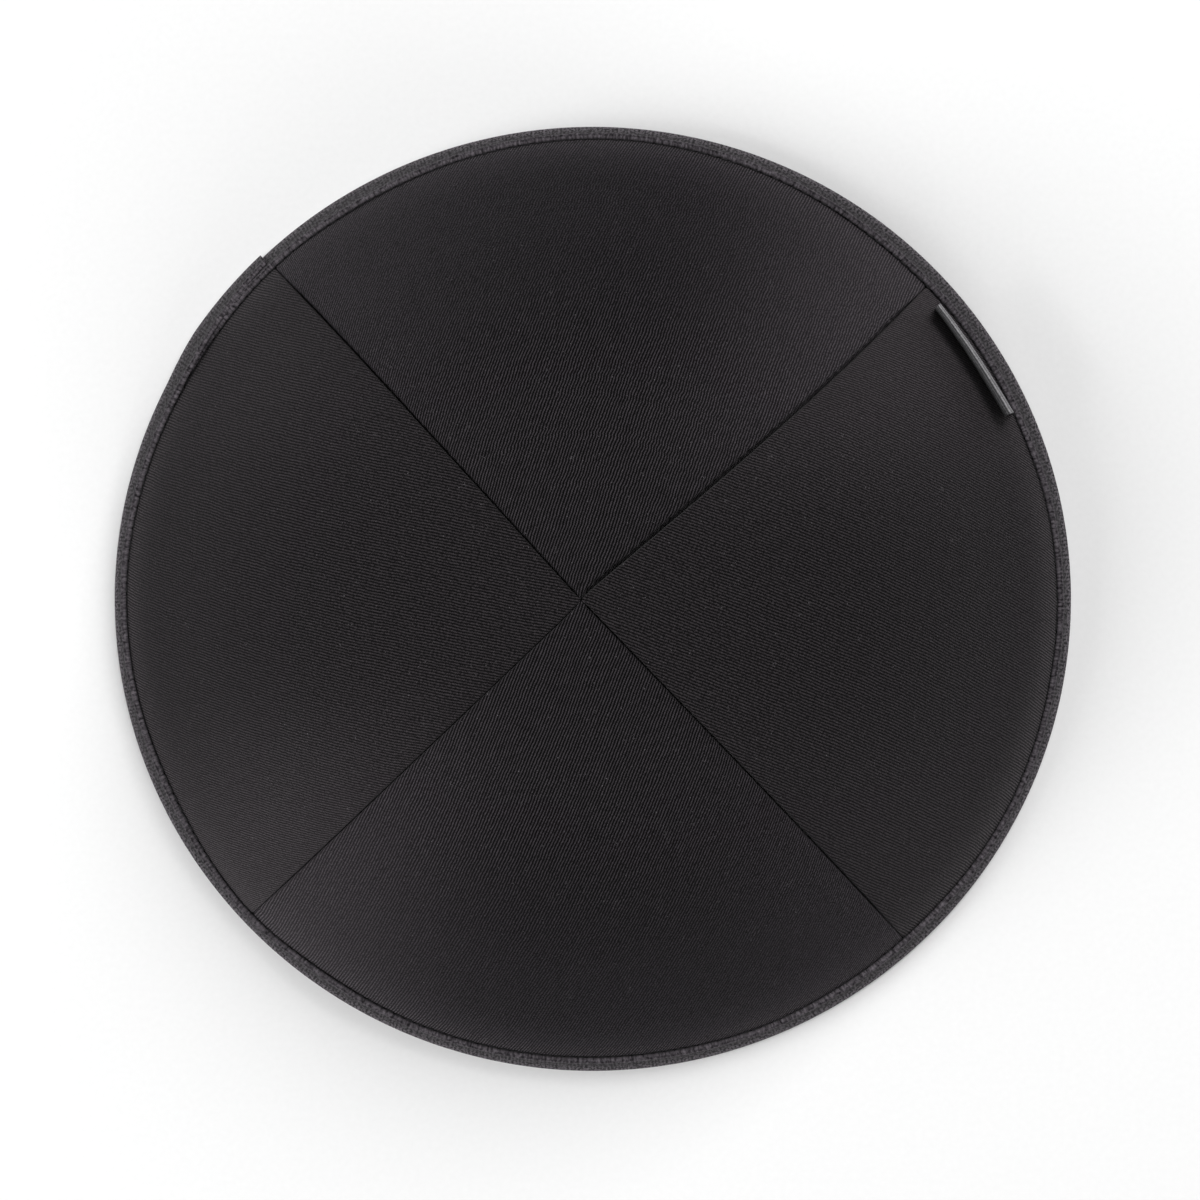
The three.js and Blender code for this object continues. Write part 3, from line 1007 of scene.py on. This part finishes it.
def ribbed_tape():
    """Black ribbed tape."""
    material, start = new_finish("black_ribbed_tape")
    along, across = cloth_place(start)
    drift = speckle(start, along, across, 0.5)
    ribs = ripples(along + (drift - 0.5) * 0.35, RIB_PITCH)
    fine_yarns = ripples(across, FINE_YARN_PITCH)
    past_ridge = start.maths("MAXIMUM", across - DRAWN_OUT_FROM, 0)
    drawn_out = start.maths("MINIMUM", across, DRAWN_OUT_FROM) + past_ridge * DRAWN_OUT_SHARE
    mottle = speckle(start, along, drawn_out, 1.5, 3.0, 0.65)
    fuzz = speckle(start, along, drawn_out, 1.9, 3.0, 0.7)
    flat_part = across.between(*FLAT_STARTS)
    grain = (fuzz - 0.5) * (flat_part * 3.5 + 1.0)
    woven = ribs * (flat_part * 0.3 + 0.05) + fine_yarns * 0.1
    height = woven + mottle * 0.6 + grain + 0.05
    above_foot = numbers(start, CAP_PLACE)[2]
    # Painted light: the tape's ridge and its fold at the foot are painted lighter; the mottle adds
    # a little uneven tone.
    on_ridge = 1 - across.between(*RIDGE_ENDS)
    on_fold = 1 - above_foot.between(*FOLD_PAINTED_LIGHT)
    painted_light_share = on_ridge + on_fold + mottle.between(0.5, 0.75) * 0.2
    body = painted_light_share.blend(shade(64, 61, 64), shade(112, 106.5, 112))
    colour = height.between(0.1, 1.0).blend(shade(18, 16, 18.5), body)
    constants = {"Specular IOR Level": 0.08, "Sheen Weight": 0.02, "Sheen Roughness": 0.5}
    finish_with(start, colour, 0.8 - ribs * 0.1, bumps(start, height, 0.045), constants)
    return material


tape.data.materials.append(ribbed_tape())
print("the tape's ribs are", RIB_PITCH, "mm apart")


# %% The ribbon's finish
PICK_PITCH = 0.28
CREST = TAB_LEG + TAB_FOLD * math.pi / 2


def satin_ribbon():
    """Black satin ribbon, with painted shade on its way up to the crest of the fold and a painted
    highlight past it.
    """
    material, start = new_finish("black_satin_ribbon")
    along, across = cloth_place(start)
    picks = ripples(across, PICK_PITCH)
    streak = speckle(start, along * 0.25, across * 3, 1.6)
    fuzz = speckle(start, along, across, 3.2, 3.0, 0.7)
    height = picks * 0.45 + streak * 0.4 + (fuzz - 0.5) * 0.9
    # Painted light: the inner leg, which faces the middle of the crown, is painted in shade, and
    # the fold past its crest and the outer leg carry a painted highlight.
    shaded_side = 1 - across.between(CREST - 0.04, CREST + 0.06)
    lit_leg_colour = height.between(0.1, 0.9).blend(shade(64, 63, 65), shade(150, 148, 151))
    shaded_leg_colour = height.between(0.2, 0.8).blend(shade(14, 14, 15), shade(74, 73, 75))
    colour = shaded_side.blend(lit_leg_colour, shaded_leg_colour)
    constants = {"Specular IOR Level": 0.4, "Sheen Weight": 0.04}
    finish_with(start, colour, 0.42 + fuzz * 0.2, bumps(start, height, 0.04), constants)
    return material


tab.data.materials.append(satin_ribbon())
print("the ribbon's ribs are", PICK_PITCH, "mm apart")


# %% The thread's finish
def twisted_thread():
    """Black sewing thread."""
    material, start = new_finish("black_thread")
    position = start.node("TexCoord", output=CAP_PLACE)
    inputs = {"Vector": position, "Scale": 5200.0, "Detail": 2.0}
    twist = start.node("TexNoise", None, inputs)
    colour = twist.blend(shade(12, 12, 13), shade(30, 29, 31))
    normal = bumps(start, twist, 0.03)
    finish_with(start, colour, 0.55 + twist * 0.2, normal, {"Specular IOR Level": 0.3})
    return material


stitches.data.materials.append(twisted_thread())
print("the thread is", 2 * THREAD, "mm thick")

# %% [markdown]
# ## Hiding the solids
# Every cloth piece takes the place of a solid, which stays hidden.

# %% The hidden solids
GORE_HALF_ANGLE = math.radians(45) * edge_radius / MERIDIAN
for name, panel in panels.items():
    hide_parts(name)
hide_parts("rim_binding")
tape_length = math.radians(360 + TAPE_START - LAP_START) * RIM_RADIUS * MM
round(tape_area / tape_length, 4)
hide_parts("label_tab")
tab_length = math.radians(TAB_TO - TAB_FROM) * TAB_RADIUS * MM
round(tab_area / tab_length, 4)
print(f"the tape is {tape_length:.3f} m long")

# %% [markdown]
# ## Floor, light and camera
# The cap lies on a plain pale floor and is seen almost straight from above. The two strongest
# lamps stand low at the front left and the back right. Light that comes in so low makes the
# wales that run across it crisp and the ones that run along it faint. Three weaker lamps and
# a pale world fill the rest.

# %% The floor
FLOOR_HALF = 3


def pale_paper():
    """Pale paper with a faint grain."""
    material, start = new_finish("pale_paper")
    position = start.node("TexCoord", output=CAP_PLACE)
    grain = start.node("TexNoise", None, {"Vector": position, "Scale": 900.0})
    colour = grain.blend((0.84, 0.84, 0.84, 1), (0.88, 0.88, 0.88, 1))
    normal = bumps(start, grain, 0.02)
    finish_with(start, colour, 0.9 + grain * 0.05, normal, {"Specular IOR Level": 0.1})
    return material


bm = bmesh.new()
bmesh.ops.create_grid(bm, x_segments=1, y_segments=1, size=FLOOR_HALF)
floor = placed_mesh(bm, "floor")
floor.data.materials.append(pale_paper())
print("the floor is", 2 * FLOOR_HALF, "m wide")

# %% The lamps and the world
WORLD_LIGHT = 0.1
LAMP_DISTANCE = 1.25
LAMPS = {
    "lamp_front_left": (204, 32, 0.6, 8.5),
    "lamp_back_right": (60, 45, 0.8, 12.7),
    "lamp_left": (178, 36, 0.6, 2.3),
    "lamp_front_right": (296, 30, 0.6, 5.5),
    "lamp_above": (100, 84, 0.9, 0.8),
}


def aim(thing, point, target):
    """Puts a lamp or camera at a point, looking at a target, with the cap's back as its top."""
    back = (Vector(point) - Vector(target)).normalized()
    right = Vector((0, 1, 0)).cross(back).normalized()
    turn = Matrix((right, back.cross(right), back)).transposed().to_4x4()
    thing.matrix_world = Matrix.Translation(point) @ turn


for name, (azimuth, elevation, size, power) in LAMPS.items():
    turn, rise = math.radians(azimuth), math.radians(elevation)
    level = Vector((math.cos(turn), math.sin(turn), 0)) * math.cos(rise)
    point = (level + Vector((0, 0, math.sin(rise)))) * LAMP_DISTANCE
    data = bpy.data.lights.new(name, "AREA")
    data.size = size
    data.energy = power
    lamp = bpy.data.objects.new(name, data)
    bpy.context.scene.collection.objects.link(lamp)
    aim(lamp, point, (0, 0, 0))
    lamp.visible_camera = False

world = bpy.data.worlds.new("pale_room")
bpy.context.scene.world = world
world.use_nodes = True
background = world.node_tree.nodes["Background"]
background.inputs["Color"].default_value = (1, 1, 1, 1)
background.inputs["Strength"].default_value = WORLD_LIGHT
bpy.context.scene.view_settings.view_transform = "Standard"
print(len(LAMPS), "lamps stand", LAMP_DISTANCE, "m away")

# %% The camera
CAMERA_AT = (0.0199, 0.0014, 0.6)
CAMERA_TO = (0.00172, -0.00018, 0)
CAMERA_LENS = 95.58
camera_data = bpy.data.cameras.new("camera")
camera_data.sensor_width = 36
camera_data.lens = CAMERA_LENS
camera_data.clip_start = 0.01
camera = bpy.data.objects.new("camera", camera_data)
bpy.context.scene.collection.objects.link(camera)
aim(camera, CAMERA_AT, CAMERA_TO)
bpy.context.scene.camera = camera
print("the camera is", CAMERA_AT[2], "m above the floor")
